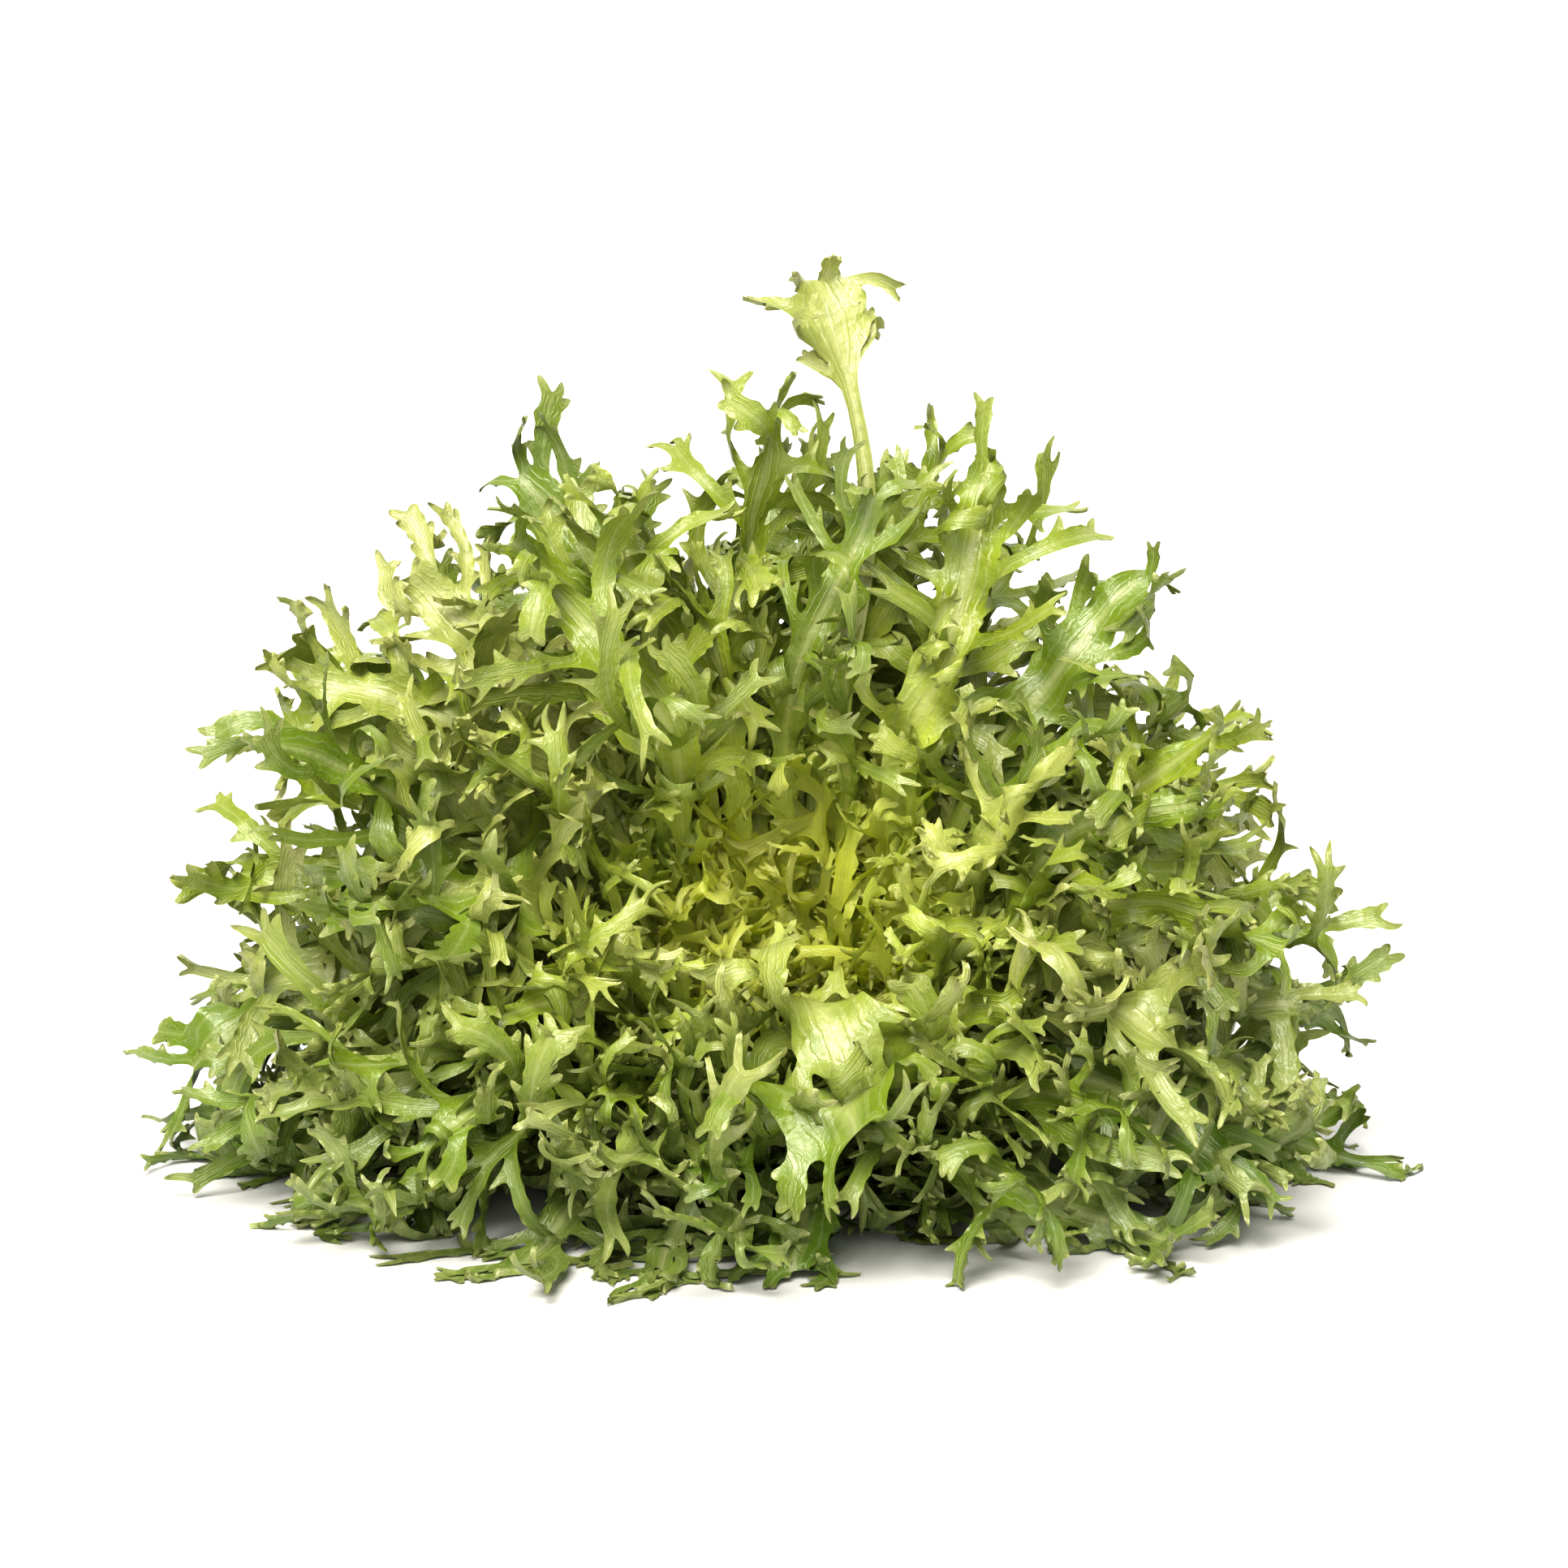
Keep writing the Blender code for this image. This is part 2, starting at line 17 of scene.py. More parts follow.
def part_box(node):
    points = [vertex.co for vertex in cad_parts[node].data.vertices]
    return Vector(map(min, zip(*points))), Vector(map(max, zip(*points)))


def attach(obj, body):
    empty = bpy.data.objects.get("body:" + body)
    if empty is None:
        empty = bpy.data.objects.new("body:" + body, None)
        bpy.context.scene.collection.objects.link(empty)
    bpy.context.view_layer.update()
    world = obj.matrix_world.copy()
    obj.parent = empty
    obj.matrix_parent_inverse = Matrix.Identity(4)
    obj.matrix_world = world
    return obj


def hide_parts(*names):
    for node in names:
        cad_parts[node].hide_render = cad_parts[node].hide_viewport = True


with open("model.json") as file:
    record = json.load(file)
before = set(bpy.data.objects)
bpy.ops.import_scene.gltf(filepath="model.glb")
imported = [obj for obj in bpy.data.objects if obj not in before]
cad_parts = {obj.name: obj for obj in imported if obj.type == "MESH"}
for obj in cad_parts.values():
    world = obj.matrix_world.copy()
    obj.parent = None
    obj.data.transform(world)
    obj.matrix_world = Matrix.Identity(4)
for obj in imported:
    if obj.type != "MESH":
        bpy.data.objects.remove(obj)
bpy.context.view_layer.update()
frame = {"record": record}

bl_info = {
    "name": "Curly endive head",
    "version": (1, 0, 0),
    "blender": (4, 5, 0),
    "location": "View3D > Sidebar > Endive",
    "description": "Builds a curly endive head leaf by leaf, with its heart, crown and stage",
    "category": "Add Mesh",
}

# The rule that the modelled leaves follow
HEAD_HALF = Vector((0.162, 0.128, 0.220))  # half width, half depth and height of the mound of leaves
MOUND_LEAN = 0.12
CROWN_AT = Vector((0.0, 0.008, 0.039))  # middle of the crown above the surface, before the head is centred
AXIS_RISE = math.radians(43)
CROWN_RADIUS = 0.0178
CROWN_FRONT = 0.0118
CROWN_BACK = 0.0095
STUMP_RADIUS = 0.0115
STUMP_LENGTH = 0.029
GAP = 0.0004
GOLDEN_ANGLE = math.pi * (3 - math.sqrt(5))
SPHERE_LEAVES = 106
HEART_CONE = math.radians(27)
HEART_EDGE = math.radians(3)
ROOT_NEAREST = math.radians(47)
ROOT_FURTHEST = math.radians(116)
LOWEST_RISE = math.radians(-16)
CROWDING = 0.5
BEND_SPAN = 0.085
SAG = math.radians(12)
RIB_CLEAR = 0.0012
PRESS_SOFTNESS = math.radians(3)
BOWL_DEPTH = 0.27
BOWL_WIDTH = math.radians(34)
LONG_BARE, SHORT_BARE = 0.30, 0.42
SHORT_REACH, LONG_REACH = 0.08, 0.15
OUTSTANDING_ROOM = math.radians(16)
BEND_FROM = 0.45
FIRST_OUTSTANDING_SEED = 9000
Outstanding = namedtuple("Outstanding", "name bearing rise reach bare blade bend droop", defaults=(0.0,))
OUTSTANDING = (
    Outstanding("tall_leaf", 100, 81, 0.199, 0.84, 1.00, -0.16),
    Outstanding("high_leaf_left", -90, 57, 0.164, 0.40, 1.00, 0.0),
    Outstanding("broad_leaf_left", -88, 41, 0.160, 0.40, 1.35, 0.0),
    Outstanding("spur_leaf_left", -104, 22, 0.140, 0.35, 0.80, 0.0),
    Outstanding("side_leaf_left", -97, 6, 0.170, 0.35, 1.25, 0.0),
    Outstanding("floor_leaf_left", -87, -9, 0.171, 0.30, 1.15, 0.0),
    Outstanding("upper_leaf_right", 98, 68, 0.170, 0.40, 1.00, -0.08),
    Outstanding("high_leaf_right", 92, 56, 0.158, 0.40, 0.90, 0.0),
    Outstanding("arched_leaf_right", 82, 38, 0.148, 0.35, 0.90, 0.0),
    Outstanding("low_leaf_right", 94, 7, 0.160, 0.35, 0.95, 0.0),
    Outstanding("floor_leaf_right", 85, -6, 0.168, 0.30, 1.05, 0.0),
    Outstanding("broad_leaf_front", 8, 6, 0.128, 0.40, 1.40, 0.0),
    Outstanding("floor_leaf_front", -6, -11, 0.134, 0.35, 1.05, 0.0),
)

# Leaves that only the looks have
STANDING_BETWEEN = (
    Outstanding("broad_between_front", 5, 24, 0.122, 0.42, 1.28, 0.0, 0.42),
    Outstanding("broad_between_top", -34, 60, 0.150, 0.40, 1.18, 0.0, 0.35),
    Outstanding("broad_between_left", -56, 30, 0.145, 0.40, 1.20, 0.0, 0.20),
    Outstanding("broad_between_right", 50, 14, 0.145, 0.40, 1.22, 0.0, 0.20),
    Outstanding("crest_between_left", -70, 75, 0.157, 0.40, 1.05, 0.0),
    Outstanding("crest_between_back", 170, 80, 0.154, 0.40, 1.05, 0.0),
    Outstanding("crest_between_far", -120, 70, 0.148, 0.40, 1.00, 0.0),
    Outstanding("low_between_left", -93, 17, 0.152, 0.38, 1.10, 0.0),
    Outstanding("low_between_right", 88, 17, 0.160, 0.38, 1.05, 0.0),
    Outstanding("low_between_front", -36, 3, 0.130, 0.35, 1.10, 0.0, 0.15),
    Outstanding("high_between_left", -85, 46, 0.172, 0.38, 1.10, 0.0),
)
FIRST_STANDING_SEED = FIRST_OUTSTANDING_SEED + 100
BETWEEN_ROOM = math.radians(6.5)  # least angle to a modelled leaf
BETWEEN_SEED = 2000
BETWEEN_SPIN = 1.0  # turns the golden-angle pattern off the modelled leaves' pattern
BETWEEN_REACH = 0.96  # of the length that a modelled leaf there would have
FACES_A_PIECE = 9000  # how far one piece of the leaves between is filled
HeartKind = namedtuple("HeartKind", "name count nearest furthest shortest longest blade")
HEART_KINDS = (
    HeartKind("heart_leaves", 66, 0.0, HEART_CONE + 0.10, 0.052, 0.084, 0.42),
    HeartKind("inner_leaves", 50, HEART_CONE + 0.02, HEART_CONE + 0.62, 0.078, 0.108, 0.62),
)
HEART_SEED = 500
HEART_BARE = 0.25
SHORT_THIRD = 0.62  # length of every third leaf of the heart, beside the rest

# How a leaf is cut, laid and finished
OUTSTANDING_FREEDOM = 0.45  # how freely an outstanding leaf rolls, sways and hooks, beside an ordinary one
RIB_END = 0.92  # share of a leaf's length at which its rib gives way to the lobes at its tip
LOBE_LIMIT = 1.04  # how far a lobe may reach, as a share of its leaf's length
STALK_ROW = 0.013  # length of a row of the bare stalk
FULL_LOBES = 0.050  # length of the cut part of a leaf from which its lobes have their full length
BROAD_FROM, BROADENING = 1.15, 13  # how much wider the wings of broad leaves are
STALKED_FROM, STALK_BROADENING = 0.6, 6  # the same for the tips of long bare stalks
LONG_PRONG = 0.008  # from this length on a prong bends halfway
TOOTH_LEAN = 0.7  # how far a tooth leans forward
PRESSED_BELOW = 0.02  # height below which leaves are kept off the surface
LEAF_CLEAR = 0.0006  # how far the lowest leaves lie above the surface
PRESS = 0.0022  # how softly leaves are pressed flat on the surface
FLOOR_CLEAR = 0.0001  # the least height of any point
VALUES = ("stout", "vein", "edge", "tint", "across")  # kept at each point of a cage
LEAST_VEIN = 0.45  # paleness of every point that isn't on an edge
PUCKERS = 260  # puckers of a blade, for each metre
RIM_ANGLE = math.radians(100)
CROWN_STEPS = 64
RIDGES = 1400  # how close the scars of cut leaves lie on the crown, in radians for each metre
SCARS = 0.0003  # how far they stand out

# The stage
FLOOR_SIZE = 800
FLOOR_COLOUR = (0.80, 0.80, 0.81, 1)
WARM, WHITE = (1.0, 0.96, 0.89), (1.0, 1.0, 1.0)
SIGHT = 1000  # how far the camera sees, which is past the far edge of the floor
VIEW_GAMMA, VIEW_EXPOSURE = 0.86, 0.12

AXIS = Vector((0, -math.cos(AXIS_RISE), math.sin(AXIS_RISE)))
ACROSS = Vector((1, 0, 0))
OVER = Vector((0, math.sin(AXIS_RISE), math.cos(AXIS_RISE)))

Leaf = namedtuple("Leaf", "name polar turn reach bare blade bend seed droop", defaults=(0.0,))
Row = namedtuple("Row", "at along across out share")
Heading = namedtuple("Heading", "forward breadth up")


def mix(a, b, share):
    return a + (b - a) * share


def smooth(share):
    share = min(max(share, 0.0), 1.0)
    return share * share * (3 - 2 * share)


def direction(polar, turn):
    return AXIS * math.cos(polar) + (OVER * math.cos(turn) + ACROSS * math.sin(turn)) * math.sin(polar)


def lowest_polar(turn):
    over = OVER.z * math.cos(turn)
    return math.atan2(over, AXIS.z) + math.acos(math.sin(LOWEST_RISE) / math.hypot(over, AXIS.z))


def mound_reach(toward):
    start = Vector(CROWN_AT[i] / HEAD_HALF[i] for i in range(3))
    step = Vector(toward[i] / HEAD_HALF[i] for i in range(3))
    half_b = start.dot(step)
    upright = (-half_b + math.sqrt(half_b**2 - step.dot(step) * (start.dot(start) - 1))) / step.dot(step)
    return upright * (1 - MOUND_LEAN * toward.x * max(toward.z, 0))


def outstanding_leaves(specs=OUTSTANDING, first_seed=FIRST_OUTSTANDING_SEED):
    leaves = []
    for number, spec in enumerate(specs):
        bearing, rise = math.radians(spec.bearing), math.radians(spec.rise)
        level = Vector((math.sin(bearing), -math.cos(bearing), 0))
        toward = level * math.cos(rise) + Vector((0, 0, math.sin(rise)))
        turn = math.atan2(toward.dot(ACROSS), toward.dot(OVER))
        polar = math.acos(max(-1.0, min(1.0, toward.dot(AXIS))))
        leaves.append(Leaf(spec.name, polar, turn, *spec[3:7], first_seed + number, spec.droop))
    return leaves


def ordinary_leaves(
    taken, count=SPHERE_LEAVES, prefix="leaf_", room=OUTSTANDING_ROOM, first_seed=0, spin=0.0
):
    """Leaves in golden-angle order, innermost first, where the heart and the surface leave room."""
    leaves = []
    for step in range(count):
        polar = math.acos(1 - (2 * step + 1) / count)
        turn = math.remainder(step * GOLDEN_ANGLE + spin, math.tau)
        if polar < HEART_CONE + HEART_EDGE or polar > lowest_polar(turn):
            continue
        toward = direction(polar, turn)
        if any(toward.angle(direction(leaf.polar, leaf.turn)) < room for leaf in taken):
            continue
        seed = step + first_seed
        draw = random.Random(seed)
        open_share = smooth((polar - HEART_CONE) / BOWL_WIDTH)
        reach = mound_reach(toward) * mix(1 - BOWL_DEPTH, 1, open_share) * draw.uniform(0.92, 1.02)
        blade = mix(0.62, 1.0, open_share) * draw.uniform(0.90, 1.12)
        bare = mix(SHORT_BARE, LONG_BARE, smooth((reach - SHORT_REACH) / (LONG_REACH - SHORT_REACH)))
        leaves.append(Leaf(f"{prefix}{len(leaves) + 1:02d}", polar, turn, reach, bare, blade, 0.0, seed))
    return leaves


def rib_point(leaf, share, turn_shift=0.0):
    """A point on the leaf's midrib, from its root on the crown (share 0) to its tip (share 1)."""
    tip_turn = leaf.turn + turn_shift
    rank = (leaf.polar - HEART_CONE) / (lowest_polar(tip_turn) - HEART_CONE)
    if rank > 0:
        root_polar = mix(ROOT_NEAREST, ROOT_FURTHEST, rank)
    else:
        root_polar = ROOT_NEAREST * leaf.polar / HEART_CONE
    root_turn = tip_turn + CROWDING * math.sin(tip_turn)
    radius = mix(CROWN_RADIUS + GAP, leaf.reach, share)
    bent = smooth((radius - CROWN_RADIUS) / BEND_SPAN)
    toward = direction(mix(root_polar, leaf.polar, bent), mix(root_turn, tip_turn, bent))
    rise = math.asin(max(-1.0, min(1.0, toward.z)))
    rise -= SAG * (radius / HEAD_HALF.x) ** 2.5 * math.cos(rise)
    drop = (CROWN_AT.z - RIB_CLEAR) / radius
    if drop < 1:
        lowest = -math.asin(drop)
        rise = lowest + PRESS_SOFTNESS * math.log1p(math.exp((rise - lowest) / PRESS_SOFTNESS))
    level = Vector((toward.x, toward.y, 0)).normalized()
    bend = ACROSS * leaf.bend * leaf.reach * max(0.0, (share - BEND_FROM) / (1 - BEND_FROM)) ** 2
    return CROWN_AT + radius * (level * math.cos(rise) + Vector((0, 0, math.sin(rise)))) + bend


# --- Growing a leaf ---


class Cage:
    """The coarse surface of one or more leaves, with VALUES for each point: how thick and how pale it is,
    how near an edge, the leaf's own tint, and on which side of the rib or lobe it lies."""

    def __init__(self):
        self.points, self.faces = [], []
        self.stout, self.vein, self.edge, self.tint, self.across = [], [], [], [], []
        self.leaf_tint = 0.5

    def add(self, point, across, stout=0.0, vein=0.0, edge=0.0):
        self.points.append(Vector(point))
        self.across.append(across)
        self.stout.append(stout)
        self.vein.append(vein)
        self.edge.append(edge)
        self.tint.append(self.leaf_tint)
        return len(self.points) - 1

    def middle(self, pair):
        return (self.points[pair[0]] + self.points[pair[1]]) / 2

    def face(self, corners, flip):
        self.faces.append(tuple(reversed(corners)) if flip else tuple(corners))


def turned(heading, curl=0.0, sway=0.0, twist=0.0):
    """The heading after it curls to its upper side, sways to its breadth and twists about its line."""
    turn = Matrix.Rotation(curl, 3, heading.forward.cross(heading.up))
    turn = Matrix.Rotation(sway, 3, heading.forward.cross(heading.breadth)) @ turn
    turn = Matrix.Rotation(twist, 3, heading.forward) @ turn
    return Heading(turn @ heading.forward, turn @ heading.breadth, turn @ heading.up)


def spine_of(leaf, rows, sizes, draw):
    """Rows along the rib: the modelled rib with the leaf's own sway, roll, waves and hooked tip."""
    freedom = OUTSTANDING_FREEDOM if leaf.seed >= FIRST_OUTSTANDING_SEED else 1.0
    roll = draw.gauss(0, sizes.roll) * freedom
    sway = draw.gauss(0, 1) * sizes.sway * freedom
    hook = draw.gauss(0.1, 1) * sizes.hook * freedom + leaf.droop
    wave, phase = draw.uniform(0.4, 1.0) * sizes.wave, draw.uniform(0, math.tau)
    length = leaf.reach - CROWN_RADIUS
    points, sides = [], []
    for share in rows:
        across = (rib_point(leaf, share, 0.01) - rib_point(leaf, share, -0.01)).normalized()
        along = (rib_point(leaf, share + 0.01) - rib_point(leaf, share - 0.01)).normalized()
        out = across.cross(along)
        free = smooth((share - 0.25) / 0.75)
        shift = across * (sway * free**1.5 + wave * 0.6 * free * math.sin(phase + share * 7))
        shift -= out * (hook * max(0.0, (share - 0.45) / 0.55) ** 2)
        shift += out * (wave * 0.4 * free * math.sin(phase * 2 + share * 9))
        points.append(rib_point(leaf, share) + shift * length)
        sides.append((across, roll * smooth((share - 0.15) / 0.85)))
    made = []
    for i, share in enumerate(rows):
        along = (points[min(i + 1, len(rows) - 1)] - points[max(i - 1, 0)]).normalized()
        across, rolled = sides[i]
        across = (across - along * across.dot(along)).normalized()
        across = Matrix.Rotation(rolled, 3, along) @ across
        made.append(Row(points[i], along, across, across.cross(along), share))
    return made


def add_tooth(cage, pair, outward, forward, size, flip):
    """A small pointed tooth on the edge between two points."""
    at = cage.middle(pair) + (outward + forward * TOOTH_LEAN) * size
    tip = cage.add(at, cage.across[pair[0]], edge=1.0)
    cage.face((pair[0], tip, pair[1]), flip)


def grow_prong(cage, base, heading, length, width, flip, draw):
    """A tapering point, grown from the edge between two points."""
    at = cage.middle(base)
    last = base
    steps = 2 if length > LONG_PRONG else 1
    curl, sway = draw.gauss(0, 0.45), draw.gauss(0, 0.35)
    for step in range(steps):
        at += heading.forward * length / (steps + 1)
        half = width * mix(1.0, 0.55, step)
        low = cage.add(at - heading.breadth * half, -1, edge=0.75)
        high = cage.add(at + heading.breadth * half, 1, edge=0.75)
        cage.face((last[0], low, high, last[1]), flip)
        last = (low, high)
        heading = turned(heading, curl=curl, sway=sway)
    tip = cage.add(at + heading.forward * length / (steps + 1), 0, edge=1.0)
    cage.face((last[0], tip, last[1]), flip)


def grow_lobe(cage, base, heading, length, width, flip, draw, sizes):
    """A lobe with side points and teeth on its edges and a forked end."""
    rows = max(2, min(6, round(length / sizes.row)))
    step = length * 0.80 / rows
    curl, twist = draw.gauss(0.1, 1) * sizes.curl, draw.gauss(0, 1) * sizes.twist
    sway = draw.gauss(0.3, 0.7)
    at = cage.middle(base)
    last = base
    turn_next = draw.choice((-1, 1))
    for row in range(rows):
        heading = turned(heading, curl / rows, sway / rows, twist / rows)
        at += heading.forward * step
        done = (row + 1) / rows
        half = width * mix(0.72, 1.05, smooth(done)) * draw.uniform(0.85, 1.15)
        low = cage.add(at - heading.breadth * half, -1, edge=done * 0.6)
        high = cage.add(at + heading.breadth * half, 1, edge=done * 0.6)
        if row == rows - 1:
            into = heading.forward * half * draw.uniform(-0.2, 0.4)
            notch = cage.add(at + into, 0, edge=0.5)
            cage.face((last[0], low, notch, high, last[1]), flip)
        else:
            cage.face((last[0], low, high, last[1]), flip)
        for side, pair in ((-1, (last[0], low)), (1, (high, last[1]))):
            if row == 0 and rows > 2:
                continue
            outward = heading.breadth * side
            if side == turn_next and draw.random() < sizes.branching:
                prong = turned(heading, sway=side * draw.uniform(0.6, 1.1), curl=draw.gauss(0, 0.3))
                grow_prong(cage, pair, prong, length * draw.uniform(0.12, 0.26), width * 0.5, flip, draw)
            elif draw.random() < sizes.toothed:
                add_tooth(cage, pair, outward, heading.forward, width * draw.uniform(0.35, 0.8), flip)
        turn_next = -turn_next
        last = (low, high)
    spread = draw.uniform(0.25, 0.7)
    for side, pair in ((-1, (last[0], notch)), (1, (notch, last[1]))):
        prong = turned(heading, sway=side * spread, curl=draw.gauss(0, 0.3))
        grow_prong(cage, pair, prong, length * draw.uniform(0.12, 0.32), width * 0.6, flip, draw)


def lobe_rows(leaf, sizes):
    """Shares along the rib at which its rows lie, the first with lobes, and how many pairs of them it has."""
    length = leaf.reach - CROWN_RADIUS
    pairs = max(3, round((1 - leaf.bare) * length / sizes.lobe_spacing))
    stalk = max(2, round(leaf.bare * length / STALK_ROW))
    rows = [leaf.bare * i / stalk for i in range(stalk)]
    first = len(rows)
    end = mix(RIB_END, 1.0, smooth((leaf.bare - 0.5) / 0.5))
    for i in range(pairs * 2 + 1):
        rows.append(mix(leaf.bare, end, i / (pairs * 2)))
    return rows, first, pairs


def rib_half(leaf, share, sizes, web):
    """Half the width of the rib with its wings."""
    size = mix(0.8, 1.0, leaf.blade) * sizes.rib_half
    done = (share - leaf.bare) / (1 - leaf.bare)
    wings = smooth(done / 0.45) * mix(1.0, 0.35, smooth((done - 0.65) / 0.35))
    stalk = mix(0.85, 0.75, smooth(share / leaf.bare)) * mix(1.0, 0.6, smooth((share - 0.5) / 0.5))
    return size * (stalk + wings * web)


def grow_leaf(cage, leaf, sizes):
    """One whole leaf: the rib with its wings, the lobes on both sides, and the lobe at the tip."""
    draw = random.Random(leaf.seed * 7 + 1)
    cage.leaf_tint = draw.random()
    web = draw.uniform(0.2, 0.8) if draw.random() < 0.7 else draw.uniform(0.9, 1.5)
    widened = max(0.0, leaf.blade - BROAD_FROM) * BROADENING
    web += widened + max(0.0, leaf.bare - STALKED_FROM) * STALK_BROADENING
    fits = min(1.0, (1 - leaf.bare) * leaf.reach / FULL_LOBES)
    rows, first, pairs = lobe_rows(leaf, sizes)
    spine = spine_of(leaf, rows, sizes, draw)
    left, centre, right = [], [], []
    ruffle, ruffle_step = draw.uniform(0, math.tau), draw.uniform(0.9, 1.5)
    for number, row in enumerate(spine):
        half = rib_half(leaf, row.share, sizes, web)
        stout = mix(1.0, 0.10, row.share**0.8)
        pale = mix(0.9, 0.0, smooth((row.share - leaf.bare * 0.5) / 0.45))
        winged = smooth((row.share - leaf.bare) / 0.2)
        wing = row.across * half
        for side, edge in ((-1, left), (1, right)):
            lift = half * (0.30 + winged * sizes.ruffle * 0.6 * math.sin(ruffle + number * ruffle_step + side))
            edge.append(cage.add(row.at + wing * side + row.out * lift, side, stout * 0.4, pale, 0.15))
        centre.append(cage.add(row.at, 0, stout, mix(1.0, 0.5, row.share)))
    for i in range(len(spine) - 1):
        cage.face((left[i], centre[i], centre[i + 1], left[i + 1]), False)
        cage.face((centre[i], right[i], right[i + 1], centre[i + 1]), False)
    for pair in range(pairs):
        done = (pair + 0.5) / pairs
        fullness = mix(0.45, 1.0, smooth(done / 0.45)) * mix(1.0, 0.6, smooth((done - 0.55) / 0.45))
        for side, edge in ((-1, left), (1, right)):
            i = first + pair * 2 + (0 if side < 0 else 1)
            if i + 1 >= len(spine):
                continue
            free = i + (1 if side < 0 else -1)
            if draw.random() < sizes.toothed and free >= 0 and free + 1 < len(spine):
                outward = spine[free].across * side + spine[free].out * draw.gauss(0, 0.5)
                size = sizes.lobe_half * draw.uniform(0.4, 1.0)
                add_tooth(cage, (edge[free], edge[free + 1]), outward, spine[free].along, size, side < 0)
            row = spine[i]
            lift = math.sin(ruffle + (i + 0.5) * ruffle_step + side) * sizes.ruffle + draw.gauss(0, 0.3)
            lean = math.radians(draw.uniform(38, 72))
            sideways = row.across * side
            forward = sideways * math.sin(lean) + row.along * math.cos(lean)
            breadth = row.along * math.sin(lean) - sideways * math.cos(lean)
            heading = turned(Heading(forward, breadth, row.out), curl=lift)
            length = sizes.lobe_length * leaf.blade * fits * fullness
            length = length * draw.uniform(0.65, 1.25) / (1 + 0.3 * web)
            length = min(length, leaf.reach * (LOBE_LIMIT - row.share) / math.cos(lean))
            width = min(sizes.lobe_half * leaf.blade * draw.uniform(0.65, 1.3), length * 0.25)
            grow_lobe(cage, (edge[i], edge[i + 1]), heading, length, width, side < 0, draw, sizes)
    row = spine[-1]
    heading = Heading(row.along, row.across, row.out)
    length = sizes.lobe_length * leaf.blade * fits * 0.36
    for side, base in ((-1, (left[-1], centre[-1])), (1, (centre[-1], right[-1]))):
        lobe = turned(heading, sway=side * draw.uniform(0.15, 0.5), curl=draw.gauss(0, 0.3))
        grow_lobe(cage, base, lobe, length * draw.uniform(0.7, 1.2), sizes.lobe_half * 0.8, True, draw, sizes)


def lay_on_surface(point):
    """Keeps a point above the surface that the head lies on, and what was lower still lower."""
    if point.z > PRESSED_BELOW:
        return point
    height = LEAF_CLEAR + PRESS * math.log1p(math.exp((point.z - LEAF_CLEAR) / PRESS))
    return Vector((point.x, point.y, height))


def subdivided(name, cage):
    """The cage as a mesh subdivided once, with its values carried over."""
    mesh = bpy.data.meshes.new(name)
    mesh.from_pydata([lay_on_surface(p) + HEAD_SHIFT for p in cage.points], [], cage.faces)
    for label in VALUES:
        mesh.attributes.new(label, "FLOAT", "POINT").data.foreach_set("value", getattr(cage, label))
    piece = bpy.data.objects.new(name, mesh)
    bpy.context.scene.collection.objects.link(piece)
    smoother = piece.modifiers.new("smooth", "SUBSURF")
    smoother.levels = smoother.render_levels = 1
    bpy.context.view_layer.update()
    graph = bpy.context.evaluated_depsgraph_get()
    smoothed = piece.evaluated_get(graph)
    made = bpy.data.meshes.new_from_object(smoothed, preserve_all_data_layers=True, depsgraph=graph)
    bpy.data.objects.remove(piece)
    bpy.data.meshes.remove(mesh)
    return made


def read(items, field, width=1):
    values = np.empty(len(items) * width, np.float32)
    items.foreach_get(field, values)
    return values.reshape(-1, width) if width > 1 else values


def finished_piece(name, cage, sizes, material):
    """The cage as a closed solid, thickest along the ribs and running out to a thin edge, as one object."""
    sheet = subdivided(name, cage)
    points = read(sheet.vertices, "co", 3)
    normals = read(sheet.vertex_normals, "vector", 3)
    values = {label: read(sheet.attributes[label].data, "value") for label in VALUES}
    corners = np.empty(len(sheet.loops), np.int32)
    sheet.loops.foreach_get("vertex_index", corners)
    bpy.data.meshes.remove(sheet)
    quads = corners.reshape(-1, 4)
    sides = np.sort(np.concatenate([quads[:, [i, (i + 1) % 4]] for i in range(4)]), axis=1)
    pairs, uses = np.unique(sides, axis=0, return_counts=True)
    inner = np.ones(len(points), bool)
    inner[pairs[uses == 1]] = False
    ribs = (sizes.rib_thickness - sizes.blade_thickness) * values["stout"]
    half = np.where(inner, (sizes.blade_thickness + ribs) / 2, 0)
    pucker = np.array([noise.noise(Vector(p) * PUCKERS) for p in points]) * sizes.pucker * inner
    rise = pucker - sizes.cup * inner * (values["tint"] + 0.3)
    outer = points + normals * (rise + half)[:, None]
    under = points + normals * (rise - half)[:, None]
    twin = np.arange(len(points))
    twin[inner] = len(points) + np.arange(inner.sum())
    points = np.concatenate([outer, under[inner]])
    points[:, 2] = np.maximum(points[:, 2], FLOOR_CLEAR)
    mesh = bpy.data.meshes.new(name)
    mesh.from_pydata(points, [], np.concatenate([quads, twin[quads][:, ::-1]]))
    values["vein"] = np.maximum(values["vein"], LEAST_VEIN * inner)
    for label in VALUES[1:]:
        both = np.concatenate([values[label], values[label][inner]])
        mesh.attributes.new(label, "FLOAT", "POINT").data.foreach_set("value", both)
    mesh.shade_smooth()
    mesh.set_sharp_from_angle(angle=RIM_ANGLE)
    mesh.materials.append(material)
    piece = bpy.data.objects.new(name, mesh)
    bpy.context.scene.collection.objects.link(piece)
    return piece


# --- Where the head stands ---


